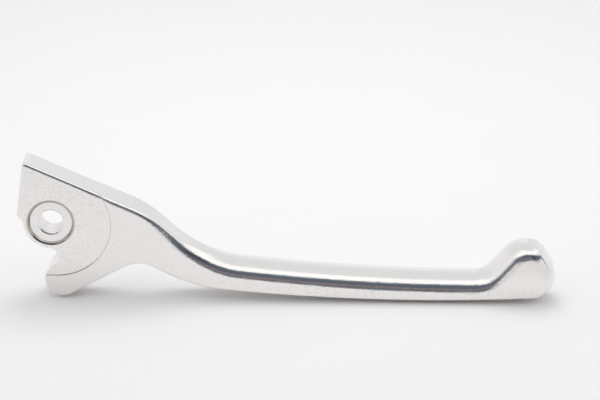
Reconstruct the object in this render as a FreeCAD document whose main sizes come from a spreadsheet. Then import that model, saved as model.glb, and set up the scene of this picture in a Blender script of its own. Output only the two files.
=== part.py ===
import FreeCAD, Part
import math
import os
import Sketcher

# Brake lever, cast and polished in one piece, with a machined pivot head.
# Millimetres. The origin is the pivot centre at mid-thickness.
# +X runs to the ball end, Y is the pivot axis, +Z is the finger side.

SIZES = [
    ("head_width", 10.4, "thickness over the two machined cheeks"),
    ("cheek_cut", 0.3, "depth machined off each cheek"),
    ("flare_rise", 0.8, "how far each side swells from the head to the blade"),
    ("flare_start", 36.0, "pivot to where the swelling begins"),
    ("flare_length", 26.0, "length of the swelling"),
    ("front_offset", 15.7, "pivot to the straight front edge of the head"),
    ("front_angle", 24.2, "slope of that edge, degrees"),
    ("shoulder_start", 22.0, "length of that edge beyond the pivot"),
    ("shoulder_radius", 40.0, "outward bend where the edge leaves the head"),
    ("throat_radius", 40.0, "inward bend down to the finger side"),
    ("ball_x", 153.0, "pivot to the ball's centre, along the lever"),
    ("ball_rise", 10.35, "back edge's lowest level up to the ball's centre"),
    ("ball_radius", 8.7, "ball's top"),
    ("flank_angle", 50.0, "slope of the ball's inner flank, degrees"),
    ("neck_radius", 6.5, "inward bend from the finger side up to the ball"),
    ("tip_radius", 18.0, "flatter outer end of the ball"),
    ("toe_offset", 2.7, "toe's centre beyond the ball's centre"),
    ("toe_radius", 7.3, "lower outer corner of the ball"),
    ("back_drop", 25.5, "pivot level down to the back edge's lowest point"),
    ("back_low", 35.0, "that point before the ball's centre"),
    ("back_radius", 660.0, "long bulge of the back edge"),
    ("blade_depth", 8.4, "back edge's lowest level up to the finger side's"),
    ("finger_low", 19.0, "finger side's lowest point before the ball's centre"),
    ("finger_radius", 663.0, "long hollow of the finger side"),
    ("belly_radius", 50.0, "outward bend from the arch to the back edge"),
    ("arch_x", 28.3, "pivot to the centre of the arch under the head"),
    ("arch_drop", 23.9, "pivot level down to that centre"),
    ("arch_radius", 10.0, "arch under the head"),
    ("nose_x", 3.05, "pivot to the nose's centre"),
    ("nose_drop", 20.0, "pivot level down to the nose's centre"),
    ("nose_radius", 5.6, "round nose that pushes the piston"),
    ("notch_relief", 0.45, "notch radius over half the gap between boss and nose"),
    ("boss_wall", 1.1, "boss round the recess"),
    ("hollow_radius", 4.0, "inward bend from the boss to the heel"),
    ("heel_radius", 1.3, "corner of the heel"),
    ("heel_rise", 2.8, "pivot level up to the heel's centre"),
    ("rear_offset", 11.1, "pivot to the straight rear edge"),
    ("rear_angle", 7.5, "lean of that edge, degrees"),
    ("edge_radius", 0.5, "rounding of the back and rear edges"),
    ("head_edge_radius", 0.95, "rounding of the head's front edges"),
    ("corner_extra", 0.2, "corner of the rear and front edges, over that rounding"),
    ("bend_edge_radius", 2.6, "rounding between the shoulder and the throat"),
    ("ridge_flat", 0.3, "flat left along the ridge of the finger side"),
    ("ball_edge_radius", 4.2, "rounding over the top of the ball"),
    ("cheek_x", 1.3, "pivot to the centre of the machined cheek"),
    ("cheek_drop", 0.4, "pivot level down to that centre"),
    ("cheek_radius", 18.0, "machined cheek"),
    ("bore_diameter", 8.1, "pivot bore"),
    ("chamfer_width", 0.45, "width of the bore's flat chamfer"),
    ("chamfer_depth", 0.2, "depth of that chamfer"),
    ("recess_diameter", 15.6, "rim of the round recess in each cheek"),
    ("recess_depth", 0.8, "depth of that recess"),
    ("recess_slope", 50.0, "slope of its wall, degrees"),
    ("rim_break", 0.6, "width of the bevel at its rim"),
]

# Sizes that follow from the ones above, as the sketches use them.
ROOT_WIDTH = "(dims.head_width + 2 * dims.cheek_cut)"
BLADE_WIDTH = "(dims.head_width + 2 * dims.cheek_cut + 2 * dims.flare_rise)"
BOSS_RADIUS = "(dims.recess_diameter / 2 + dims.boss_wall)"
RADII = {
    "boss": BOSS_RADIUS,
    "corner": "dims.head_edge_radius + dims.corner_extra",
    "crown": "dims.ball_radius",
    "notch": "(sqrt(dims.nose_x ^ 2 + dims.nose_drop ^ 2) - dims.nose_radius - " + BOSS_RADIUS + ") / 2"
             " + dims.notch_relief",
}
CENTRE_X = {
    "shoulder": "(dims.front_offset - dims.shoulder_radius) * sin(dims.front_angle * 1 deg)"
                " + dims.shoulder_start * cos(dims.front_angle * 1 deg)",
    "finger": "dims.ball_x - dims.finger_low",
    "crown": "dims.ball_x",
    "toe": "dims.ball_x + dims.toe_offset",
    "back": "dims.ball_x - dims.back_low",
    "arch": "dims.arch_x",
    "nose": "dims.nose_x",
}
CENTRE_Z = {
    "finger": "dims.finger_radius + dims.blade_depth - dims.back_drop",
    "crown": "dims.ball_rise - dims.back_drop",
    "back": "dims.back_radius - dims.back_drop",
    "arch": "-dims.arch_drop",
    "nose": "-dims.nose_drop",
    "heel": "dims.heel_rise",
}
LINE_ANGLES = {
    "front": "-dims.front_angle",
    "rear": "90 - dims.rear_angle",
    "flank": "dims.flank_angle",
}

UP = FreeCAD.Vector(0, 0, 1)
# How closely an edge must lie on a piece of the outline to belong to it.
FIT = 0.001

doc = FreeCAD.newDocument("brake_lever")
sheet = doc.addObject("Spreadsheet::Sheet", "dims")
for row, (alias, value, note) in enumerate(SIZES, start=1):
    sheet.set("A%d" % row, alias)
    sheet.set("B%d" % row, str(value))
    sheet.set("C%d" % row, note)
    sheet.setAlias("B%d" % row, alias)
doc.recompute()


def size(alias):
    return float(sheet.get(alias))


def vec(x, y):
    return FreeCAD.Vector(x, y, 0)


def polar(degrees):
    return vec(math.cos(math.radians(degrees)), math.sin(math.radians(degrees)))


def toward(start, end, length):
    return start + (end - start) * (length / (end - start).Length)


def meet(first, first_reach, second, second_reach, side):
    # The point at given distances from two points, left (1) or right (-1) of the way between them.
    gap = second - first
    along = (first_reach ** 2 - second_reach ** 2 + gap.Length ** 2) / (2 * gap.Length)
    across = math.sqrt(first_reach ** 2 - along ** 2)
    unit = gap / gap.Length
    return first + unit * along + vec(-unit.y, unit.x) * across * side


def origin_plane(body, role):
    return [item for item in body.Origin.OriginFeatures if item.Role == role][0]


def new_sketch(body, name, role):
    sketch = body.newObject("Sketcher::SketchObject", name)
    sketch.AttachmentSupport = [(origin_plane(body, role), "")]
    sketch.MapMode = "FlatFace"
    doc.recompute()
    return sketch


def line(sketch, start, end):
    return sketch.addGeometry(Part.LineSegment(start, end))


def arc(sketch, centre, radius, first, last):
    return sketch.addGeometry(Part.ArcOfCircle(Part.Circle(centre, UP, radius), first, last))


def fix(sketch, kind, *parts):
    return sketch.addConstraint(Sketcher.Constraint(kind, *parts))


def bind(sketch, name, formula, kind, *parts):
    sketch.renameConstraint(fix(sketch, kind, *parts), name)
    sketch.setExpression("Constraints." + name, formula)


def join(sketch, *pieces):
    # Lines drawn end to start, joined in turn.
    for first, second in zip(pieces, pieces[1:]):
        fix(sketch, "Coincident", first, 2, second, 1)


def pad(body, sketch, length):
    feature = body.newObject("PartDesign::Pad", body.Name + "_pad")
    feature.Profile = sketch
    feature.SideType = "Symmetric"
    feature.setExpression("Length", length)
    doc.recompute()
    return feature


def mirror(body, feature):
    copy = body.newObject("PartDesign::Mirrored", body.Name + "_mirrored")
    copy.Originals = [feature]
    copy.MirrorPlane = (origin_plane(body, "XZ_Plane"), [""])
    body.Tip = copy
    doc.recompute()


def combine(kind, name, base, tool):
    feature = doc.addObject(kind, name)
    feature.Base = base
    feature.Tool = tool
    feature.Refine = True
    doc.recompute()
    return feature


# Side outline: the centres of its arcs, each found from the sizes or from the arcs it touches.
pivot = vec(0, 0)
root_width = size("head_width") + 2 * size("cheek_cut")
blade_width = root_width + 2 * size("flare_rise")
boss_radius = size("recess_diameter") / 2 + size("boss_wall")
corner_radius = size("head_edge_radius") + size("corner_extra")
front_out = polar(90 - size("front_angle"))
front_run = polar(-size("front_angle"))
rear_out = polar(180 - size("rear_angle"))
flank_out = polar(90 + size("flank_angle"))
flank_run = polar(size("flank_angle"))

shoulder_begin = front_out * size("front_offset") + front_run * size("shoulder_start")
shoulder = shoulder_begin - front_out * size("shoulder_radius")
back = vec(size("ball_x") - size("back_low"), size("back_radius") - size("back_drop"))
finger_low_z = size("blade_depth") - size("back_drop")
finger = vec(size("ball_x") - size("finger_low"), size("finger_radius") + finger_low_z)
throat = meet(shoulder, size("shoulder_radius") + size("throat_radius"),
              finger, size("finger_radius") - size("throat_radius"), -1)
throat_end = toward(finger, throat, size("finger_radius"))
crown = vec(size("ball_x"), size("ball_rise") - size("back_drop"))
flank_top = crown + flank_out * size("ball_radius")
above = flank_top + flank_out * size("neck_radius") - finger
slide = above.dot(flank_run)
neck_reach = size("finger_radius") - size("neck_radius")
neck = finger + above - flank_run * (slide + math.sqrt(slide ** 2 - above.dot(above) + neck_reach ** 2))
toe_x = size("ball_x") + size("toe_offset")
toe_reach = size("back_radius") - size("toe_radius")
toe = vec(toe_x, back.y - math.sqrt(toe_reach ** 2 - (toe_x - back.x) ** 2))
tip = meet(crown, size("tip_radius") - size("ball_radius"),
           toe, size("tip_radius") - size("toe_radius"), -1)
arch = vec(size("arch_x"), -size("arch_drop"))
belly = meet(arch, size("arch_radius") + size("belly_radius"),
             back, size("back_radius") - size("belly_radius"), -1)
nose = vec(size("nose_x"), -size("nose_drop"))
span = arch - nose
lean = math.acos((size("nose_radius") + size("arch_radius")) / span.Length)
under_out = polar(math.degrees(math.atan2(span.y, span.x) - lean))
notch_radius = (nose.Length - size("nose_radius") - boss_radius) / 2 + size("notch_relief")
notch = meet(pivot, boss_radius + notch_radius, nose, size("nose_radius") + notch_radius, -1)
heel_depth = size("rear_offset") - size("heel_radius")
heel = vec((heel_depth - rear_out.y * size("heel_rise")) / rear_out.x, size("heel_rise"))
hollow = meet(pivot, boss_radius + size("hollow_radius"),
              heel, size("heel_radius") + size("hollow_radius"), 1)
front_depth = size("front_offset") - corner_radius
rear_depth = size("rear_offset") - corner_radius
cross = front_out.x * rear_out.y - front_out.y * rear_out.x
corner = vec((front_depth * rear_out.y - rear_depth * front_out.y) / cross,
             (front_out.x * rear_depth - rear_out.x * front_depth) / cross)
front_begin = corner + front_out * corner_radius

# Each piece of the outline, clockwise: name, centre or None, which way it bulges, where it ends.
OUTLINE = [
    ("corner", corner, "out", front_begin),
    ("front", None, "", shoulder_begin),
    ("shoulder", shoulder, "out", toward(shoulder, throat, size("shoulder_radius"))),
    ("throat", throat, "in", throat_end),
    ("finger", finger, "in", toward(finger, neck, size("finger_radius"))),
    ("neck", neck, "in", neck - flank_out * size("neck_radius")),
    ("flank", None, "", flank_top),
    ("crown", crown, "out", toward(tip, crown, size("tip_radius"))),
    ("tip", tip, "out", toward(tip, toe, size("tip_radius"))),
    ("toe", toe, "out", toward(back, toe, size("back_radius"))),
    ("back", back, "out", toward(back, belly, size("back_radius"))),
    ("belly", belly, "out", toward(arch, belly, size("arch_radius"))),
    ("arch", arch, "in", arch - under_out * size("arch_radius")),
    ("under", None, "", nose + under_out * size("nose_radius")),
    ("nose", nose, "out", toward(nose, notch, size("nose_radius"))),
    ("notch", notch, "in", toward(pivot, notch, boss_radius)),
    ("boss", pivot, "out", toward(pivot, hollow, boss_radius)),
    ("hollow", hollow, "in", toward(heel, hollow, size("heel_radius"))),
    ("heel", heel, "out", heel + rear_out * size("heel_radius")),
    ("rear", None, "", corner + rear_out * corner_radius),
]
STEPS = list(zip(OUTLINE[-1:] + OUTLINE[:-1], OUTLINE))


# Each side of the casting swells along two equal arcs.
swell_begin = vec(size("flare_start"), root_width / 2)
swell_end = vec(size("flare_start") + size("flare_length"), blade_width / 2)
swell = swell_end - swell_begin
swell_radius = swell.dot(swell) / (4 * swell.y)
swell_turn = math.asin(swell.x / 2 / swell_radius)


def casting_half(x):
    # Half the thickness of the casting at a place along the lever.
    run = min(max(x - swell_begin.x, 0), swell.x)
    near_end = min(run, swell.x - run)
    rise = swell_radius - math.sqrt(swell_radius ** 2 - near_end ** 2)
    return swell_begin.y + rise if run < swell.x / 2 else swell_end.y - rise


def angle_at(centre, point):
    return math.atan2(point.y - centre.y, point.x - centre.x)


def draw_outline(sketch):
    ids = {}
    ends = {}
    for before, (name, centre, bulge, end) in STEPS:
        begin = before[3]
        ends[name] = (2, 1) if bulge == "out" else (1, 2)
        if centre is None:
            ids[name] = line(sketch, begin, end)
        else:
            first, last = (end, begin) if bulge == "out" else (begin, end)
            radius = (end - centre).Length
            ids[name] = arc(sketch, centre, radius, angle_at(centre, first), angle_at(centre, last))
    for before, piece in STEPS:
        fix(sketch, "Tangent", ids[before[0]], ends[before[0]][1], ids[piece[0]], ends[piece[0]][0])
    fix(sketch, "Coincident", ids["boss"], 3, -1, 1)
    for before, (name, centre, bulge, end) in STEPS:
        if centre is not None:
            formula = RADII.get(name, "dims." + name + "_radius")
            bind(sketch, name + "_radius", formula, "Radius", ids[name], (end - centre).Length)
        if name in CENTRE_X:
            bind(sketch, name + "_x", CENTRE_X[name], "DistanceX", -1, 1, ids[name], 3, centre.x)
        if name in CENTRE_Z:
            bind(sketch, name + "_z", CENTRE_Z[name], "DistanceY", -1, 1, ids[name], 3, centre.y)
        if name in LINE_ANGLES:
            bind(sketch, name + "_angle", LINE_ANGLES[name], "Angle", ids[name], angle_at(before[3], end))
    for name in ("front", "rear"):
        offset = name + "_offset"
        bind(sketch, offset, "dims." + offset, "Distance", -1, 1, ids[name], size(offset))
    doc.recompute()


def share(before, piece, point):
    # How far along a piece of the outline a point lies, from 0 to 1, or None if it is off the piece.
    begin = before[3]
    name, centre, bulge, end = piece
    if centre is None:
        run = end - begin
        along = (point - begin).dot(run) / run.dot(run)
        miss = (begin + run * along - point).Length
    else:
        turn = -1 if bulge == "out" else 1
        start = angle_at(centre, begin) * turn
        sweep = (angle_at(centre, end) * turn - start) % math.tau
        beyond = (math.tau - sweep) / 2
        along = ((angle_at(centre, point) * turn - start + beyond) % math.tau - beyond) / sweep
        miss = abs((point - centre).Length - (end - centre).Length)
    on_piece = miss < FIT and -FIT < along < 1 + FIT
    return along if on_piece else None


def outline_rounding(base):
    # The rounding is small on the head and grows to nearly a half round along the finger side.
    full = casting_half(throat_end.x) - size("ridge_flat") / 2
    at_end = {piece[0]: size("edge_radius") for piece in OUTLINE}
    for piece in ("rear", "corner", "front"):
        at_end[piece] = size("head_edge_radius")
    at_end["shoulder"] = size("bend_edge_radius")
    for piece in ("throat", "finger", "neck", "flank"):
        at_end[piece] = full
    for piece in ("crown", "tip"):
        at_end[piece] = size("ball_edge_radius")
    edges = []
    reverse = {}
    for index, edge in enumerate(base.Shape.Edges, start=1):
        first, last = edge.ParameterRange
        begin, middle, end = [edge.valueAt(part) for part in (first, (first + last) / 2, last)]
        for before, piece in STEPS:
            along = [share(before, piece, vec(point.x, point.z)) for point in (begin, middle, end)]
            if begin.y * end.y > 0 and None not in along:
                start = at_end[before[0]]
                change = at_end[piece[0]] - start
                radii = [start + change * part for part in sorted((along[0], along[2]))]
                # All the radii of one side run the way that its first edge runs.
                if reverse.setdefault(middle.y > 0, along[0] > along[2]):
                    radii.reverse()
                edges.append((index, radii[0], radii[1]))
    return edges


def front_rounding(base):
    # The head's front edges, rounded as the casting's are.
    radius = size("head_edge_radius")
    edges = []
    for index, edge in enumerate(base.Shape.Edges, start=1):
        begin, end = [edge.valueAt(part) for part in edge.ParameterRange]
        depth = [(front_begin - vec(point.x, point.z)).dot(front_out) for point in (begin, end)]
        if begin.y * end.y > 0 and max(depth) < FIT:
            edges.append((index, radius, radius))
    return edges


def rounded(name, base, edges):
    feature = doc.addObject("Part::Fillet", name)
    feature.Base = base
    feature.Edges = edges
    doc.recompute()
    return feature


# Plan of the casting: half of it, mirrored, with two lines joined by two equal arcs on the side.
plan = doc.addObject("PartDesign::Body", "plan")
plan_sketch = new_sketch(plan, "plan_sketch", "XY_Plane")
plan_left = -2 * size("rear_offset")
plan_right = 2 * size("ball_x")
left_end = line(plan_sketch, vec(plan_left, 0), vec(plan_left, swell_begin.y))
root_side = line(plan_sketch, vec(plan_left, swell_begin.y), swell_begin)
swell_in = arc(plan_sketch, swell_begin + vec(0, swell_radius), swell_radius,
               -math.pi / 2, swell_turn - math.pi / 2)
swell_out = arc(plan_sketch, swell_end - vec(0, swell_radius), swell_radius,
                math.pi / 2, math.pi / 2 + swell_turn)
blade_side = line(plan_sketch, swell_end, vec(plan_right, swell_end.y))
right_end = line(plan_sketch, vec(plan_right, swell_end.y), vec(plan_right, 0))
middle_line = line(plan_sketch, vec(plan_right, 0), vec(plan_left, 0))
join(plan_sketch, blade_side, right_end, middle_line, left_end, root_side)
fix(plan_sketch, "Tangent", root_side, 2, swell_in, 1)
fix(plan_sketch, "Tangent", swell_in, 2, swell_out, 2)
fix(plan_sketch, "Tangent", swell_out, 1, blade_side, 1)
fix(plan_sketch, "Equal", swell_in, swell_out)
fix(plan_sketch, "PointOnObject", middle_line, 1, -1)
for level in (root_side, blade_side, middle_line):
    fix(plan_sketch, "Horizontal", level)
for upright in (left_end, right_end):
    fix(plan_sketch, "Vertical", upright)
bind(plan_sketch, "root_half", ROOT_WIDTH + " / 2", "DistanceY", -1, 1, swell_in, 1, swell_begin.y)
bind(plan_sketch, "blade_half", BLADE_WIDTH + " / 2", "DistanceY", -1, 1, swell_out, 1, swell_end.y)
bind(plan_sketch, "flare_start", "dims.flare_start", "DistanceX", -1, 1, swell_in, 1, swell_begin.x)
bind(plan_sketch, "flare_length", "dims.flare_length", "DistanceX", swell_in, 1, swell_out, 1, swell.x)
bind(plan_sketch, "plan_left", "-2 * dims.rear_offset", "DistanceX", -1, 1, left_end, 1, plan_left)
bind(plan_sketch, "plan_right", "2 * dims.ball_x", "DistanceX", -1, 1, right_end, 2, plan_right)
doc.recompute()
mirror(plan, pad(plan, plan_sketch, "4 * dims.back_drop"))

# The casting, with its edges rounded.
casting_slab = doc.addObject("PartDesign::Body", "casting_slab")
outline_sketch = new_sketch(casting_slab, "outline_sketch", "XZ_Plane")
draw_outline(outline_sketch)
pad(casting_slab, outline_sketch, "2 * " + BLADE_WIDTH)
casting_blank = combine("Part::Common", "casting_blank", casting_slab, plan)
casting = rounded("casting", casting_blank, outline_rounding(casting_blank))

# What machining keeps of the head: a block of its thickness under the front edge, which is rounded.
head_block = doc.addObject("PartDesign::Body", "head_block")
head_sketch = new_sketch(head_block, "head_sketch", "XZ_Plane")
block_depth = 4 * size("front_offset")
block_reach = 2 * size("front_offset")
top_left = front_out * size("front_offset") - front_run * block_reach
top_right = front_out * size("front_offset") + front_run * block_reach
block_top = line(head_sketch, top_left, top_right)
block_right = line(head_sketch, top_right, top_right - front_out * block_depth)
block_base = line(head_sketch, top_right - front_out * block_depth, top_left - front_out * block_depth)
block_left = line(head_sketch, top_left - front_out * block_depth, top_left)
join(head_sketch, block_top, block_right, block_base, block_left, block_top)
for side in (block_right, block_left):
    fix(head_sketch, "Perpendicular", block_top, side)
fix(head_sketch, "Parallel", block_top, block_base)
bind(head_sketch, "front_offset", "dims.front_offset", "Distance", -1, 1, block_top, size("front_offset"))
bind(head_sketch, "front_angle", "-dims.front_angle", "Angle", block_top, angle_at(top_left, top_right))
bind(head_sketch, "block_depth", "4 * dims.front_offset", "Distance", block_right, block_depth)
bind(head_sketch, "block_length", "4 * dims.front_offset", "Distance", block_top, 2 * block_reach)
bind(head_sketch, "block_reach", "2 * dims.front_offset", "Distance", -1, 1, block_left, block_reach)
doc.recompute()
pad(head_block, head_sketch, "dims.head_width")
head = rounded("head", head_block, front_rounding(head_block))

# What the cutter reaches: a half disc round the cheek's centre and everything to its left.
cheek_sweep = doc.addObject("PartDesign::Body", "cheek_sweep")
cheek_sketch = new_sketch(cheek_sweep, "cheek_sketch", "XZ_Plane")
cheek = vec(size("cheek_x"), -size("cheek_drop"))
low = cheek - vec(0, size("cheek_radius"))
high = cheek + vec(0, size("cheek_radius"))
sweep_left = -2 * size("rear_offset")
sweep_top = 2 * size("front_offset")
rim_arc = arc(cheek_sketch, cheek, size("cheek_radius"), -math.pi / 2, math.pi / 2)
rise = line(cheek_sketch, high, vec(cheek.x, sweep_top))
roof = line(cheek_sketch, vec(cheek.x, sweep_top), vec(sweep_left, sweep_top))
fall = line(cheek_sketch, vec(sweep_left, sweep_top), vec(sweep_left, low.y))
base_line = line(cheek_sketch, vec(sweep_left, low.y), low)
join(cheek_sketch, rim_arc, rise, roof, fall, base_line, rim_arc)
for upright in (rise, fall):
    fix(cheek_sketch, "Vertical", upright)
for level in (roof, base_line):
    fix(cheek_sketch, "Horizontal", level)
for end in (1, 2):
    fix(cheek_sketch, "Vertical", rim_arc, end, rim_arc, 3)
bind(cheek_sketch, "cheek_radius", "dims.cheek_radius", "Radius", rim_arc, size("cheek_radius"))
bind(cheek_sketch, "cheek_x", "dims.cheek_x", "DistanceX", -1, 1, rim_arc, 3, cheek.x)
bind(cheek_sketch, "cheek_z", "-dims.cheek_drop", "DistanceY", -1, 1, rim_arc, 3, cheek.y)
bind(cheek_sketch, "sweep_left", "-2 * dims.rear_offset", "DistanceX", -1, 1, fall, 1, sweep_left)
bind(cheek_sketch, "sweep_top", "2 * dims.front_offset", "DistanceY", -1, 1, roof, 1, sweep_top)
doc.recompute()
pad(cheek_sweep, cheek_sketch, "2 * " + BLADE_WIDTH)
chips = combine("Part::Cut", "chips", cheek_sweep, head)
faced = combine("Part::Cut", "faced", casting, chips)

# The pivot's cutter: bore, chamfer and round recess, turned about the pivot axis and mirrored.
pivot_tool = doc.addObject("PartDesign::Body", "pivot_tool")
pivot_sketch = new_sketch(pivot_tool, "pivot_sketch", "XY_Plane")
bore = size("bore_diameter") / 2
rim = size("recess_diameter") / 2
floor_y = size("head_width") / 2 - size("recess_depth")
outer_y = blade_width
slope = math.radians(size("recess_slope"))
wall_run = polar(size("recess_slope"))
rim_top = vec(rim, size("head_width") / 2)
wall_top = rim_top - polar(size("recess_slope") / 2) * size("rim_break")
wall_foot = wall_top - wall_run * ((wall_top.y - floor_y) / wall_run.y)
chamfer_low = vec(bore, floor_y - size("chamfer_depth"))
chamfer_high = vec(bore + size("chamfer_width"), floor_y)
centre_line = line(pivot_sketch, pivot, vec(bore, 0))
bore_wall = line(pivot_sketch, vec(bore, 0), chamfer_low)
chamfer = line(pivot_sketch, chamfer_low, chamfer_high)
recess_floor = line(pivot_sketch, chamfer_high, wall_foot)
recess_wall = line(pivot_sketch, wall_foot, wall_top)
rim_bevel = line(pivot_sketch, wall_top, rim_top)
clear_side = line(pivot_sketch, rim_top, vec(rim, outer_y))
clear_top = line(pivot_sketch, vec(rim, outer_y), vec(0, outer_y))
axis_line = line(pivot_sketch, vec(0, outer_y), pivot)
join(pivot_sketch, centre_line, bore_wall, chamfer, recess_floor, recess_wall, rim_bevel, clear_side,
     clear_top, axis_line, centre_line)
fix(pivot_sketch, "Coincident", centre_line, 1, -1, 1)
for level in (centre_line, recess_floor, clear_top):
    fix(pivot_sketch, "Horizontal", level)
for upright in (bore_wall, clear_side, axis_line):
    fix(pivot_sketch, "Vertical", upright)
bind(pivot_sketch, "slope", "dims.recess_slope", "Angle", recess_wall, slope)
bind(pivot_sketch, "bevel_slope", "dims.recess_slope / 2", "Angle", rim_bevel, slope / 2)
bind(pivot_sketch, "bevel_width", "dims.rim_break", "Distance", rim_bevel, size("rim_break"))
bind(pivot_sketch, "rim", "dims.recess_diameter / 2", "DistanceX", -1, 1, clear_side, 1, rim)
bind(pivot_sketch, "rim_y", "dims.head_width / 2", "DistanceY", -1, 1, clear_side, 1, rim_top.y)
bind(pivot_sketch, "floor_y", "dims.head_width / 2 - dims.recess_depth",
     "DistanceY", -1, 1, recess_floor, 1, floor_y)
bind(pivot_sketch, "bore", "dims.bore_diameter / 2", "DistanceX", -1, 1, bore_wall, 1, bore)
bind(pivot_sketch, "chamfer_x", "dims.chamfer_width",
     "DistanceX", chamfer, 1, chamfer, 2, size("chamfer_width"))
bind(pivot_sketch, "chamfer_y", "dims.chamfer_depth",
     "DistanceY", chamfer, 1, chamfer, 2, size("chamfer_depth"))
bind(pivot_sketch, "outer_y", BLADE_WIDTH, "DistanceY", -1, 1, clear_top, 1, outer_y)
doc.recompute()
turned = pivot_tool.newObject("PartDesign::Revolution", "turned")
turned.Profile = pivot_sketch
turned.ReferenceAxis = (pivot_sketch, ["V_Axis"])
turned.Angle = 360
doc.recompute()
mirror(pivot_tool, turned)

brake_lever = combine("Part::Cut", "brake_lever", faced, pivot_tool)
brake_lever.Label = "brake_lever"

for item in doc.Objects:
    if "Invalid" in item.State or "Error" in item.State:
        raise RuntimeError("not built: " + item.Name)
shape = brake_lever.Shape
if shape.isNull() or not shape.isValid() or len(shape.Solids) != 1:
    raise RuntimeError("brake_lever is not one sound solid")
os.makedirs("parts", exist_ok=True)
shape.exportStep("parts/brake_lever.step")
print("brake_lever: %.0f cubic mm, %d faces" % (shape.Volume, len(shape.Faces)))
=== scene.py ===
import functools
import math

import bpy
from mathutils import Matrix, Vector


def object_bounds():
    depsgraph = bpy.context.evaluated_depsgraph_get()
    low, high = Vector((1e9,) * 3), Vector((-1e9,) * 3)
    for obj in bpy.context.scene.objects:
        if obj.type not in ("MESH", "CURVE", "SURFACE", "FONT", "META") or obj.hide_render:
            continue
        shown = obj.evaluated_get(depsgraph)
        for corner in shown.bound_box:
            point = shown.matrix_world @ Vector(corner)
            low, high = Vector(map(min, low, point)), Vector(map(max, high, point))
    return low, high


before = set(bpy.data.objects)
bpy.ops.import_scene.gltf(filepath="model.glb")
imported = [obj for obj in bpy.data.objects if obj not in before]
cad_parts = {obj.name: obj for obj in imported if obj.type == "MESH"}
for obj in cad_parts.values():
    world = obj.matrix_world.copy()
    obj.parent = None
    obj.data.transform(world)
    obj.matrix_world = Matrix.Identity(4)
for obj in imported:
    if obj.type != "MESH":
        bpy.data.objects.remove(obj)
cad_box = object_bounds()

bl_info = {
    "name": "Brake lever",
    "version": (1, 0, 0),
    "blender": (4, 5, 0),
    "location": "3D View > Sidebar > Lever",
    "description": "Gives the brake lever its polished finish and sets up its studio stage",
    "category": "Object",
}

LEVER = "brake_lever"

# Small sizes in the lever's finish and in its painted shade on the recess walls and along the cheek step,
# in metres.
CLOUD_SIZE = 0.012
BORE_FADE = 0.00005
WALL_SHADE_FADE = 0.00008
STEP_SHADE_WIDTH = 0.0002
STEP_SHADE_FADE = 0.0001

# The finger side's edges lie above this line, given as places along the lever and heights, in metres.
FINGER_LINE = ((-0.012, 0.0211), (0.034, -0.0002), (0.041, -0.0175), (0.070, -0.0208))
FINGER_FADE = 0.0004

# Shares of the edges' softening on the head, the neck and the blade, and where along the lever they meet.
HEAD_SOFT = 0.7
NECK_SOFT = 1.4
BLADE_SOFT = 0.98
HEAD_TO_NECK = (0.006, 0.020)
NECK_TO_BLADE = (0.032, 0.042)
EDGE_SAMPLES = 16

# Limits between which noise turns into specks and into dullness, and the shares of some marks, among them
# the painted shade line along the cheek step.
NOISE_ROUGHNESS = 0.55
SPECK_LIMITS = (0.52, 0.72)
DULL_LIMITS = (0.25, 0.75)
CLOUD_SHARE = 0.7
STEP_SHADE_SHARE = 0.55
FINGER_SPECKS = 0.25

# The floor's mottle and tooth, in metres, its darker shade, and where along X the blade's floor starts.
MOTTLE_SIZE = 0.03
TOOTH_SIZE = 0.0008
TOOTH_DEPTH = 0.00001
MOTTLE_SHADE = 0.985
BLADE_START = 0.1

# The camera's sensor in millimetres, and the camera's way from the lever in degrees.
SENSOR_WIDTH = 36
CAMERA_TURN = 1.7
CAMERA_HEIGHT = 22.5

# All ways out from the lever are in degrees. A turn runs from the front to the right, a height up from
# level. A lean and a distance are taken about the way that the lever's flat side mirrors to the camera.
MIRROR_TURN = -CAMERA_TURN
MIRROR_HEIGHT = -CAMERA_HEIGHT

# The tent's opening: the turns over which its sides fade in and out, its top as turns and heights, with
# a level stretch at the opening's height, and its sill as leans and distances.
OPENING_SIDES = ((-40.0, -30.0), (68.0, 80.0))
OPENING_LEFT = (-38.0, 15.0)
OPENING_LEVEL = (-6.0, 20.0)
OPENING_RIGHT = 80.0
OPENING_DROP = 4.0
OPENING_BLUR = 1.5
SILL = ((-37.0, 26.0), (-8.0, 8.0), (13.0, 8.0), (25.0, 20.5), (42.0, 28.0), (47.0, 28.0), (55.0, 76.0))
SILL_BLUR = 2.0

# The dim room behind the opening: the brown edge's turns and half width, and the dark corner's leans.
SHELF_SIDES = ((-20.0, -10.0), (10.0, 16.0))
SHELF_EDGE = (1.5, 3.2)
CORNER_SIDES = ((21.0, 25.0), (31.0, 35.0))

# The tent's tones: the turns and heights over which one tone fades into another, and the white front's
# top and foot as turns and heights.
SIDE_TO_TOP = (-5.0, 55.0)
BACK_TURNS = (168.0, 177.0)
BACK_HEIGHTS = (10.0, 75.0)
BEHIND_SIDES = ((156.0, 160.0), (166.0, 170.0))
BEHIND_HEIGHTS = (26.0, 38.0)
FRONT_SIDES = ((-60.0, -30.0), (104.0, 122.0))
FRONT_TOP = ((3.0, 66.0), (30.0, 62.0))
FRONT_TOP_BLUR = 5.0
FRONT_FOOT = ((25.0, 22.0), (60.0, 44.0))
FRONT_FOOT_BLUR = 6.0
TABLE_SIDES = ((-60.0, -45.0), (60.0, 75.0))
TABLE_HEIGHTS = (0.0, 14.0)


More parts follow.
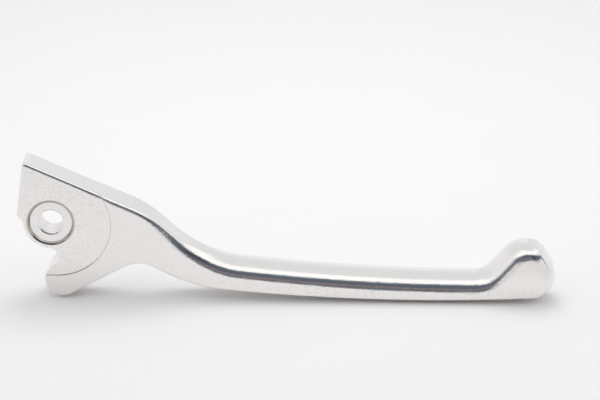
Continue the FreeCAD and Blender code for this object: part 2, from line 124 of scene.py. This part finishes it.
class LeverFinish(bpy.types.PropertyGroup):
    """Sizes and colours of the polished casting."""

    metal: bpy.props.FloatVectorProperty(
        name="Metal", description="Colour of the polished metal",
        size=3, subtype="COLOR", default=(0.882, 0.862, 0.847), min=0, max=1)
    dull_metal: bpy.props.FloatVectorProperty(
        name="Dull metal", description="Colour of the metal in its duller specks",
        size=3, subtype="COLOR", default=(0.71, 0.69, 0.67), min=0, max=1)
    polish: bpy.props.FloatProperty(
        name="Polish", description="Roughness of the best polished places",
        default=0.08, min=0.02, max=1, subtype="FACTOR")
    satin: bpy.props.FloatProperty(
        name="Satin", description="Roughness of the dullest places",
        default=0.15, min=0.02, max=1, subtype="FACTOR")
    grain_size: bpy.props.FloatProperty(
        name="Grain size", description="Width of one grain of the tumbled skin",
        default=0.0005, min=0.0001, max=0.01, precision=5, unit="LENGTH")
    grain_depth: bpy.props.FloatProperty(
        name="Grain depth", description="Depth of the tumbled skin's grain",
        default=0.00004, min=0, max=0.0005, precision=6, unit="LENGTH")
    wave_size: bpy.props.FloatProperty(
        name="Wave size", description="Width of the slow waves that hand polishing leaves",
        default=0.006, min=0.001, max=0.05, precision=4, unit="LENGTH")
    wave_depth: bpy.props.FloatProperty(
        name="Wave depth", description="Depth of the slow waves that hand polishing leaves",
        default=0.00002, min=0, max=0.001, precision=6, unit="LENGTH")
    soft_edge: bpy.props.FloatProperty(
        name="Soft edge", description="Rounding that the shader gives the finger side's edges",
        default=0.0015, min=0, max=0.01, precision=5, unit="LENGTH")
    # Colour of the recess walls, partly the cut metal's own duller tone and partly painted shade in the
    # recesses, and of the painted shade line along the cheek step.
    cut_metal_and_shade: bpy.props.FloatVectorProperty(
        name="Cut metal", description="Colour of the recesses' cut walls and of the step about the cheeks",
        size=3, subtype="COLOR", default=(0.50, 0.47, 0.44), min=0, max=1)
    bore_pitch: bpy.props.FloatProperty(
        name="Bore pitch", description="Distance between the cutter's lines in the bore",
        default=0.0021, min=0.0001, max=0.003, precision=5, unit="LENGTH")
    bore_depth: bpy.props.FloatProperty(
        name="Bore depth", description="Depth of the cutter's lines in the bore",
        default=0.00006, min=0, max=0.0005, precision=6, unit="LENGTH")
    bore_radius: bpy.props.FloatProperty(
        name="Bore radius", description="How far from the pivot axis the bore's lines go",
        default=0.0042, min=0.001, max=0.02, precision=4, unit="LENGTH")
    wall_inside: bpy.props.FloatProperty(
        name="Wall inside", description="Foot of a recess's wall, from the pivot axis",
        default=0.0068, min=0.001, max=0.02, precision=5, unit="LENGTH")
    wall_outside: bpy.props.FloatProperty(
        name="Wall outside", description="Rim of a recess's wall, from the pivot axis",
        default=0.0078, min=0.001, max=0.02, precision=5, unit="LENGTH")
    cheek_centre: bpy.props.FloatVectorProperty(
        name="Cheek centre", description="Centre of the arc that bounds the machined cheeks",
        size=3, subtype="XYZ", default=(0.0013, 0, -0.0004), precision=4, unit="LENGTH")
    cheek_radius: bpy.props.FloatProperty(
        name="Cheek radius", description="Radius of that arc",
        default=0.018, min=0.001, max=0.1, precision=4, unit="LENGTH")
    cheek_half: bpy.props.FloatProperty(
        name="Cheek half", description="From mid-thickness to just inside a machined cheek",
        default=0.00515, min=0.001, max=0.05, precision=5, unit="LENGTH")


class LeverStage(bpy.types.PropertyGroup):
    """Floor, surroundings, lamp and camera."""

    floor: bpy.props.FloatVectorProperty(
        name="Floor", description="Colour of the pale floor",
        size=3, subtype="COLOR", default=(0.932, 0.92, 0.916), min=0, max=1)
    floor_gap: bpy.props.FloatProperty(
        name="Floor gap", description="How far below the lever the floor lies",
        default=0.0011, min=0, max=0.01, precision=4, unit="LENGTH")
    head_floor: bpy.props.FloatProperty(
        name="Head floor", description="How far in front of the head the metal still mirrors the floor",
        default=0.15, min=0.05, max=2, unit="LENGTH")
    blade_floor: bpy.props.FloatProperty(
        name="Blade floor", description="How far in front of the blade the metal still mirrors the floor",
        default=0.032, min=0.02, max=2, unit="LENGTH")
    floor_size: bpy.props.FloatProperty(
        name="Floor size", description="How far the floor reaches each way",
        default=4.0, min=0.5, max=20, unit="LENGTH")
    tent: bpy.props.FloatVectorProperty(
        name="Tent", description="Light of the white tent's upper front",
        size=3, subtype="COLOR", default=(1.16, 1.16, 1.15), min=0, max=2)
    tent_top: bpy.props.FloatVectorProperty(
        name="Tent top", description="Light of the tent overhead",
        size=3, subtype="COLOR", default=(0.81, 0.825, 0.835), min=0, max=2)
    tent_side: bpy.props.FloatVectorProperty(
        name="Tent side", description="Light of the tent's sides and back, low down",
        size=3, subtype="COLOR", default=(0.93, 0.93, 0.935), min=0, max=2)
    tent_back: bpy.props.FloatVectorProperty(
        name="Tent back", description="Light of the tent straight behind the lever, low down",
        size=3, subtype="COLOR", default=(0.96, 0.962, 0.97), min=0, max=2)
    tent_behind: bpy.props.FloatVectorProperty(
        name="Tent behind", description="Light of the tent behind the lever, to its right",
        size=3, subtype="COLOR", default=(0.815, 0.835, 0.86), min=0, max=2)
    below: bpy.props.FloatVectorProperty(
        name="Below", description="Light of the table's front, under the opening",
        size=3, subtype="COLOR", default=(0.80, 0.795, 0.79), min=0, max=2)
    fill: bpy.props.FloatProperty(
        name="Fill", description="Share of the tent's light that falls on matt surfaces, beside the lamp's",
        default=0.95, min=0, max=1, subtype="FACTOR")
    opening: bpy.props.FloatVectorProperty(
        name="Opening", description="Dim room behind the tent's opening",
        size=3, subtype="COLOR", default=(0.112, 0.138, 0.172), min=0, max=1)
    corner: bpy.props.FloatVectorProperty(
        name="Corner", description="Darkest corner of the dim room",
        size=3, subtype="COLOR", default=(0.045, 0.055, 0.068), min=0, max=1)
    shelf: bpy.props.FloatVectorProperty(
        name="Shelf", description="Thin brown edge across the dim room",
        size=3, subtype="COLOR", default=(0.42, 0.28, 0.24), min=0, max=1)
    shelf_height: bpy.props.FloatProperty(
        name="Shelf height", description="Height of the brown edge as seen from the lever",
        default=math.radians(8), min=0, max=math.pi / 2, subtype="ANGLE")
    opening_height: bpy.props.FloatProperty(
        name="Opening height", description="Height of the opening's top as seen from the lever",
        default=math.radians(38.5), min=0, max=math.pi / 2, subtype="ANGLE")
    backdrop: bpy.props.FloatVectorProperty(
        name="Backdrop", description="Colour beyond the floor",
        size=3, subtype="COLOR", default=(0.93, 0.93, 0.93), min=0, max=1)
    lamp_power: bpy.props.FloatProperty(
        name="Lamp power", description="Power of the soft lamp overhead",
        default=0.575, min=0, max=100, unit="POWER")
    lamp_size: bpy.props.FloatProperty(
        name="Lamp size", description="Width of the soft lamp",
        default=0.27, min=0.01, max=5, unit="LENGTH")
    lamp_place: bpy.props.FloatVectorProperty(
        name="Lamp place", description="Where the soft lamp hangs",
        size=3, subtype="XYZ", default=(0.08, 0.16, 0.42), precision=4, unit="LENGTH")
    lamp_aim: bpy.props.FloatVectorProperty(
        name="Lamp aim", description="How the soft lamp is turned",
        size=3, subtype="EULER", default=(math.radians(-20), 0, 0))
    camera_place: bpy.props.FloatVectorProperty(
        name="Camera place", description="Where the camera stands",
        size=3, subtype="XYZ", default=(0.10192, -0.72902, 0.30894), precision=4, unit="LENGTH")
    camera_aim: bpy.props.FloatVectorProperty(
        name="Camera aim", description="How the camera is turned",
        size=3, subtype="EULER", default=(math.radians(90 - CAMERA_HEIGHT), 0, math.radians(CAMERA_TURN)))
    lens: bpy.props.FloatProperty(
        name="Lens", description="Focal length in millimetres on a 36 mm wide sensor",
        default=146.94, min=10, max=500, unit="CAMERA")


class Nodes:
    """Short calls to build a node tree."""

    def __init__(self, tree):
        self.tree = tree
        tree.nodes.clear()

    def add(self, kind, inputs=None, **settings):
        """A new node with its settings, and with its inputs set or linked."""
        node = self.tree.nodes.new(kind)
        for name, value in settings.items():
            setattr(node, name, value)
        for key, value in (inputs or {}).items():
            self.put(node.inputs[key], value)
        return node

    def put(self, socket, value):
        """Link another socket to this one, or set it to a constant."""
        if isinstance(value, bpy.types.NodeSocket):
            self.tree.links.new(value, socket)
        else:
            socket.default_value = value

    def math(self, operation, *values):
        return self.add("ShaderNodeMath", dict(enumerate(values)), operation=operation).outputs[0]

    def vector(self, operation, *values):
        return self.add("ShaderNodeVectorMath", dict(enumerate(values)), operation=operation).outputs

    def plus(self, first, second):
        return self.math("ADD", first, second)

    def minus(self, first, second):
        return self.math("SUBTRACT", first, second)

    def times(self, *values):
        return functools.reduce(functools.partial(self.math, "MULTIPLY"), values)

    def ramp(self, value, limits, start=0.0, end=1.0, smooth=True):
        """A change from start to end while a value goes through its limits."""
        kind = "SMOOTHSTEP" if smooth else "LINEAR"
        inputs = {0: value, 1: limits[0], 2: limits[1], 3: start, 4: end}
        return self.add("ShaderNodeMapRange", inputs, interpolation_type=kind).outputs[0]

    def fall(self, value, limits):
        """1 below the limits, 0 above them."""
        return self.ramp(value, limits, 1.0, 0.0)

    def between(self, value, fade_in, fade_out):
        """1 between two fades, 0 outside them."""
        return self.times(self.ramp(value, fade_in), self.fall(value, fade_out))

    def band(self, value, low, high, soft):
        """1 from a low to a high value, with a soft stretch on each side."""
        return self.between(value, (low - soft, low), (high, high + soft))

    def above(self, first, second, blur):
        """1 where the first value is above the second, 0 where it is below."""
        return self.ramp(self.minus(first, second), (-blur, blur))

    def polyline(self, value, points):
        """Straight stretches from point to point, level before the first and after the last."""
        height = points[0][1]
        for (low, start), (high, end) in zip(points, points[1:]):
            if start != end:
                height = self.plus(height, self.ramp(value, (low, high), 0.0, end - start, smooth=False))
        return height

    def mix(self, share, first, second):
        """A colour that goes from the first to the second with a share."""
        node = self.add("ShaderNodeMix", data_type="RGBA")
        for socket, value in zip((node.inputs[0], node.inputs[6], node.inputs[7]), (share, first, second)):
            self.put(socket, value)
        return node.outputs[2]

    def noise(self, place, width, detail=2.0):
        inputs = {"Vector": place, "Scale": 1 / width, "Detail": detail, "Roughness": NOISE_ROUGHNESS}
        return self.add("ShaderNodeTexNoise", inputs).outputs["Fac"]

    def reach(self, place, centre):
        """Distance from an axis that runs along Y through a centre."""
        offset = self.vector("SUBTRACT", place, centre)[0]
        flat = self.vector("MULTIPLY", offset, (1, 0, 1))[0]
        return self.vector("LENGTH", flat)["Value"]

    def bump(self, height, depth, normal=None):
        inputs = {"Strength": 1.0, "Distance": depth, "Height": height}
        if normal is not None:
            inputs["Normal"] = normal
        return self.add("ShaderNodeBump", inputs).outputs[0]


def opaque(colour):
    return (*colour, 1.0)


def bore_lines(nodes, depth, reach, waves, finish):
    """The cutter's lines, which wander a little and end with the bore's wall."""
    in_bore = nodes.fall(reach, (finish.bore_radius - BORE_FADE, finish.bore_radius))
    wander = nodes.times(waves, finish.bore_pitch)
    turns = nodes.times(nodes.plus(depth, wander), math.tau / finish.bore_pitch)
    return nodes.times(nodes.math("SINE", turns), in_bore)


def soft_edges(nodes, along, finger_side, finish):
    """The surface's direction, with the finger side's edges made rounder."""
    share = nodes.times(nodes.ramp(along, HEAD_TO_NECK, HEAD_SOFT, NECK_SOFT),
                        nodes.ramp(along, NECK_TO_BLADE, 1.0, BLADE_SOFT / NECK_SOFT))
    radius = nodes.times(share, finish.soft_edge, finger_side)
    return nodes.add("ShaderNodeBevel", {"Radius": radius}, samples=EDGE_SAMPLES).outputs[0]


def recess_and_step_shade(nodes, place, along, depth, reach, finish):
    """Painted shade in the recesses: a darker tone on their walls, partly the cut walls' own tone, and,
    more faintly, a painted shade line along the step about the machined cheeks.
    """
    # The recess walls' darker tone is partly their own and partly painted shade.
    wall = nodes.band(reach, finish.wall_inside, finish.wall_outside, WALL_SHADE_FADE)
    cheek_reach = nodes.reach(place, tuple(finish.cheek_centre))
    # A thin painted shade line along the step about the machined cheeks.
    step = nodes.band(cheek_reach, finish.cheek_radius, finish.cheek_radius + STEP_SHADE_WIDTH, STEP_SHADE_FADE)
    on_side = nodes.math("GREATER_THAN", nodes.math("ABSOLUTE", depth), finish.cheek_half)
    right = nodes.math("GREATER_THAN", along, finish.cheek_centre[0])
    return nodes.math("MAXIMUM", wall, nodes.times(step, on_side, right, STEP_SHADE_SHARE))


def polished_aluminium(finish):
    """Bright metal with a tumbled grain, slow polishing waves and the cutter's marks about the pivot."""
    material = bpy.data.materials.new("polished_aluminium")
    material.use_nodes = True
    nodes = Nodes(material.node_tree)
    place = nodes.add("ShaderNodeTexCoord").outputs["Object"]
    along, depth, height = nodes.add("ShaderNodeSeparateXYZ", {0: place}).outputs
    reach = nodes.reach(place, (0, 0, 0))
    grain = nodes.noise(place, finish.grain_size, detail=3.0)
    waves = nodes.noise(place, finish.wave_size, detail=1.0)
    clouds = nodes.noise(place, CLOUD_SIZE, detail=4.0)
    finger_side = nodes.above(height, nodes.polyline(along, FINGER_LINE), FINGER_FADE)
    normal = nodes.bump(waves, finish.wave_depth, soft_edges(nodes, along, finger_side, finish))
    normal = nodes.bump(bore_lines(nodes, depth, reach, waves, finish), finish.bore_depth, normal)
    normal = nodes.bump(grain, finish.grain_depth, normal)
    specks = nodes.ramp(grain, SPECK_LIMITS)
    speck_share = nodes.ramp(finger_side, (0.0, 1.0), 1.0, FINGER_SPECKS, smooth=False)
    colour = nodes.mix(nodes.times(specks, speck_share), opaque(finish.metal), opaque(finish.dull_metal))
    # The recess walls' darker tone, partly painted shade, and the painted shade line along the cheek step.
    marks = recess_and_step_shade(nodes, place, along, depth, reach, finish)
    colour = nodes.mix(marks, colour, opaque(finish.cut_metal_and_shade))
    dullness = nodes.plus(nodes.times(clouds, CLOUD_SHARE), nodes.times(specks, 1 - CLOUD_SHARE))
    roughness = nodes.ramp(dullness, DULL_LIMITS, finish.polish, finish.satin)
    shader = nodes.add("ShaderNodeBsdfPrincipled", {
        "Base Color": colour, "Metallic": 1.0, "Roughness": roughness, "Normal": normal})
    nodes.add("ShaderNodeOutputMaterial", {"Surface": shader.outputs[0]})
    return material


def pale_board(stage):
    """The floor: matt board with a faint mottle."""
    material = bpy.data.materials.new("pale_board")
    material.use_nodes = True
    nodes = Nodes(material.node_tree)
    place = nodes.add("ShaderNodeTexCoord").outputs["Object"]
    mottle = nodes.noise(place, MOTTLE_SIZE, detail=3.0)
    shade = tuple(part * MOTTLE_SHADE for part in stage.floor)
    colour = nodes.mix(mottle, opaque(stage.floor), opaque(shade))
    tooth = nodes.bump(nodes.noise(place, TOOTH_SIZE), TOOTH_DEPTH)
    shader = nodes.add("ShaderNodeBsdfPrincipled", {
        "Base Color": colour, "Roughness": 0.9, "Specular IOR Level": 0.1, "Normal": tooth})
    nodes.add("ShaderNodeOutputMaterial", {"Surface": shader.outputs[0]})
    return material


def flat_sheet(name, corners, material):
    mesh = bpy.data.meshes.new(name)
    mesh.from_pydata(corners, [], [tuple(range(len(corners)))])
    mesh.materials.append(material)
    sheet = bpy.data.objects.new(name, mesh)
    bpy.context.scene.collection.objects.link(sheet)
    return sheet


def lay_floor(stage):
    """Two sheets that meet on a line in front of the lever. The metal mirrors only the rear one."""
    level = float(cad_box[0][2]) - stage.floor_gap
    far = stage.floor_size
    edge = [(-far, -stage.head_floor, level), (0.0, -stage.head_floor, level),
            (BLADE_START, -stage.blade_floor, level), (far, -stage.blade_floor, level)]
    board = pale_board(stage)
    flat_sheet("floor", edge + [(far, far, level), (-far, far, level)], board)
    front = flat_sheet("floor_front", [(-far, -far, level), (far, -far, level)] + edge[::-1], board)
    front.visible_glossy = False


def about_mirror(nodes, turn, height):
    """A way's lean and distance about the way that the lever's flat side mirrors."""
    across = nodes.minus(turn, MIRROR_TURN)
    rise = nodes.minus(height, MIRROR_HEIGHT)
    lean = nodes.math("DEGREES", nodes.math("ARCTAN2", across, rise))
    away = nodes.math("SQRT", nodes.plus(nodes.times(across, across), nodes.times(rise, rise)))
    return lean, away


def opening_share(nodes, turn, height, lean, away, stage):
    """1 where a way leads out through the tent's opening, 0 where it meets the tent."""
    top = math.degrees(stage.opening_height)
    level = [(end, top) for end in OPENING_LEVEL]
    edge = nodes.polyline(turn, [OPENING_LEFT, *level, (OPENING_RIGHT, top - OPENING_DROP)])
    under = nodes.above(edge, height, OPENING_BLUR)
    over = nodes.above(away, nodes.polyline(lean, SILL), SILL_BLUR)
    return nodes.times(under, over, nodes.between(turn, *OPENING_SIDES))


def dim_room(nodes, turn, height, lean, stage):
    """The room behind the opening, with a dark corner and a thin brown edge."""
    room = nodes.mix(nodes.between(lean, *CORNER_SIDES), opaque(stage.opening), opaque(stage.corner))
    off_shelf = nodes.math("ABSOLUTE", nodes.minus(height, math.degrees(stage.shelf_height)))
    on_shelf = nodes.times(nodes.fall(off_shelf, SHELF_EDGE), nodes.between(turn, *SHELF_SIDES))
    return nodes.mix(on_shelf, room, opaque(stage.shelf))


def tent_walls(nodes, turn, height, stage):
    """The tent all round: its sides, top and back, its white front and the table below that."""
    walls = nodes.mix(nodes.ramp(height, SIDE_TO_TOP), opaque(stage.tent_side), opaque(stage.tent_top))
    off_front = nodes.math("ABSOLUTE", turn)
    back = nodes.times(nodes.ramp(off_front, BACK_TURNS), nodes.fall(height, BACK_HEIGHTS))
    walls = nodes.mix(back, walls, opaque(stage.tent_back))
    behind = nodes.times(nodes.between(turn, *BEHIND_SIDES), nodes.fall(height, BEHIND_HEIGHTS))
    walls = nodes.mix(behind, walls, opaque(stage.tent_behind))
    under_top = nodes.above(nodes.polyline(turn, FRONT_TOP), height, FRONT_TOP_BLUR)
    over_foot = nodes.above(height, nodes.polyline(turn, FRONT_FOOT), FRONT_FOOT_BLUR)
    front = nodes.times(nodes.between(turn, *FRONT_SIDES), under_top, over_foot)
    walls = nodes.mix(front, walls, opaque(stage.tent))
    table = nodes.times(nodes.between(turn, *TABLE_SIDES), nodes.fall(height, TABLE_HEIGHTS))
    return nodes.mix(table, walls, opaque(stage.below))


def light_tent(stage):
    """Surroundings: a white tent, open at the front to a dim room."""
    world = bpy.data.worlds.new("light_tent")
    world.use_nodes = True
    bpy.context.scene.world = world
    nodes = Nodes(world.node_tree)
    way = nodes.add("ShaderNodeTexCoord").outputs["Generated"]
    right, back, up = nodes.add("ShaderNodeSeparateXYZ", {0: way}).outputs
    height = nodes.math("DEGREES", nodes.math("ARCSINE", up))
    turn = nodes.math("DEGREES", nodes.math("ARCTAN2", right, nodes.times(back, -1.0)))
    lean, away = about_mirror(nodes, turn, height)
    light = nodes.mix(opening_share(nodes, turn, height, lean, away, stage),
                      tent_walls(nodes, turn, height, stage),
                      dim_room(nodes, turn, height, lean, stage))
    path = nodes.add("ShaderNodeLightPath").outputs
    seen = path["Is Camera Ray"]
    mirrored = nodes.math("MAXIMUM", path["Is Glossy Ray"], path["Is Transmission Ray"])
    shows = nodes.math("MAXIMUM", seen, mirrored)
    strength = nodes.ramp(shows, (0.0, 1.0), stage.fill, 1.0, smooth=False)
    shown = nodes.mix(seen, light, opaque(stage.backdrop))
    surface = nodes.add("ShaderNodeBackground", {"Color": shown, "Strength": strength})
    nodes.add("ShaderNodeOutputWorld", {"Surface": surface.outputs[0]})


def hang_lamp(stage):
    """A soft lamp overhead, which the metal does not mirror."""
    lamp_data = bpy.data.lights.new("soft_lamp", "AREA")
    lamp_data.energy = stage.lamp_power
    lamp_data.size = stage.lamp_size
    lamp = bpy.data.objects.new("soft_lamp", lamp_data)
    lamp.location = stage.lamp_place
    lamp.rotation_euler = stage.lamp_aim
    lamp.visible_glossy = False
    bpy.context.scene.collection.objects.link(lamp)


def place_camera(stage):
    camera_data = bpy.data.cameras.new("camera")
    camera_data.sensor_width = SENSOR_WIDTH
    camera_data.lens = stage.lens
    camera = bpy.data.objects.new("camera", camera_data)
    camera.location = stage.camera_place
    camera.rotation_euler = stage.camera_aim
    bpy.context.scene.collection.objects.link(camera)
    bpy.context.scene.camera = camera


class LEVER_OT_polish(bpy.types.Operator):
    """Give the lever its polished finish"""

    bl_idname = "lever.polish"
    bl_label = "Polish the lever"

    def execute(self, context):
        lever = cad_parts[LEVER]
        material = polished_aluminium(context.scene.lever_finish)
        for slot in lever.material_slots:
            slot.material = material
        return {"FINISHED"}


class LEVER_OT_stage(bpy.types.Operator):
    """Set up the floor, the light and the camera"""

    bl_idname = "lever.stage"
    bl_label = "Set the stage"

    def execute(self, context):
        stage = context.scene.lever_stage
        lay_floor(stage)
        light_tent(stage)
        hang_lamp(stage)
        place_camera(stage)
        context.scene.view_settings.view_transform = "Standard"
        return {"FINISHED"}


class LEVER_PT_sidebar(bpy.types.Panel):
    """The lever's finish and stage"""

    bl_label = "Brake lever"
    bl_idname = "LEVER_PT_sidebar"
    bl_space_type = "VIEW_3D"
    bl_region_type = "UI"
    bl_category = "Lever"

    def draw(self, context):
        for settings, action in ((context.scene.lever_finish, LEVER_OT_polish),
                                 (context.scene.lever_stage, LEVER_OT_stage)):
            column = self.layout.column()
            for name in settings.__annotations__:
                column.prop(settings, name)
            column.operator(action.bl_idname)


CLASSES = (LeverFinish, LeverStage, LEVER_OT_polish, LEVER_OT_stage, LEVER_PT_sidebar)


def register():
    for kind in CLASSES:
        bpy.utils.register_class(kind)
    bpy.types.Scene.lever_finish = bpy.props.PointerProperty(type=LeverFinish)
    bpy.types.Scene.lever_stage = bpy.props.PointerProperty(type=LeverStage)


def unregister():
    del bpy.types.Scene.lever_stage
    del bpy.types.Scene.lever_finish
    for kind in reversed(CLASSES):
        bpy.utils.unregister_class(kind)


def main():
    register()
    bpy.ops.lever.polish()
    bpy.ops.lever.stage()


if __name__ == "__main__":
    main()
